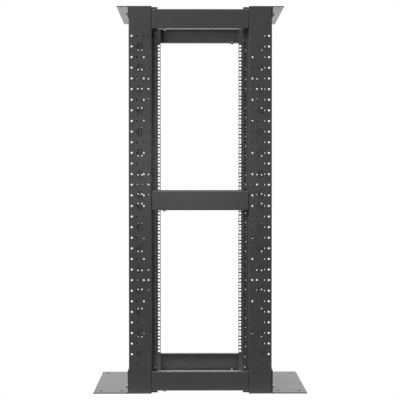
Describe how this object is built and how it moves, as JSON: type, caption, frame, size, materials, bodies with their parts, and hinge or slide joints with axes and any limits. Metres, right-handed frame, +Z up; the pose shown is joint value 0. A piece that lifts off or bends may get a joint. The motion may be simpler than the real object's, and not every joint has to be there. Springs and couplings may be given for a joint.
{
  "type": "four-post open frame rack",
  "caption": "Tall open equipment rack: four upright posts of folded, punched sheet steel with square mounting holes, side bars, top angles and wide base angles that stand on a floor.",
  "frame": {"origin": "on the floor, at the centre of the rack's footprint", "axes": "+Z up, +X from the front of the rack to its rear along its depth, +Y across its width to the left side as seen from the front, so the right side faces -Y"},
  "size_m": [0.9, 0.5156, 1.6241],
  "materials": {
    "black_powder_coat": "semi-gloss fine-textured black powder coat on steel sheet",
    "zinc_plate": "bright zinc-plated steel"
  },
  "bodies": {
    "root": {"front_right_post": "black_powder_coat", "rear_right_post": "black_powder_coat", "front_left_post": "black_powder_coat", "rear_left_post": "black_powder_coat", "front_base_angle": "black_powder_coat", "rear_base_angle": "black_powder_coat", "front_top_angle": "black_powder_coat", "rear_top_angle": "black_powder_coat", "right_top_bar": "black_powder_coat", "right_middle_bar": "black_powder_coat", "right_bottom_bar": "black_powder_coat", "left_top_bar": "black_powder_coat", "left_middle_bar": "black_powder_coat", "left_bottom_bar": "black_powder_coat", "right_top_ground_stud": "zinc_plate", "right_middle_ground_stud": "zinc_plate", "right_bottom_ground_stud": "zinc_plate", "left_top_ground_stud": "zinc_plate", "left_middle_ground_stud": "zinc_plate", "left_bottom_ground_stud": "zinc_plate"}
  },
  "joints": []
}
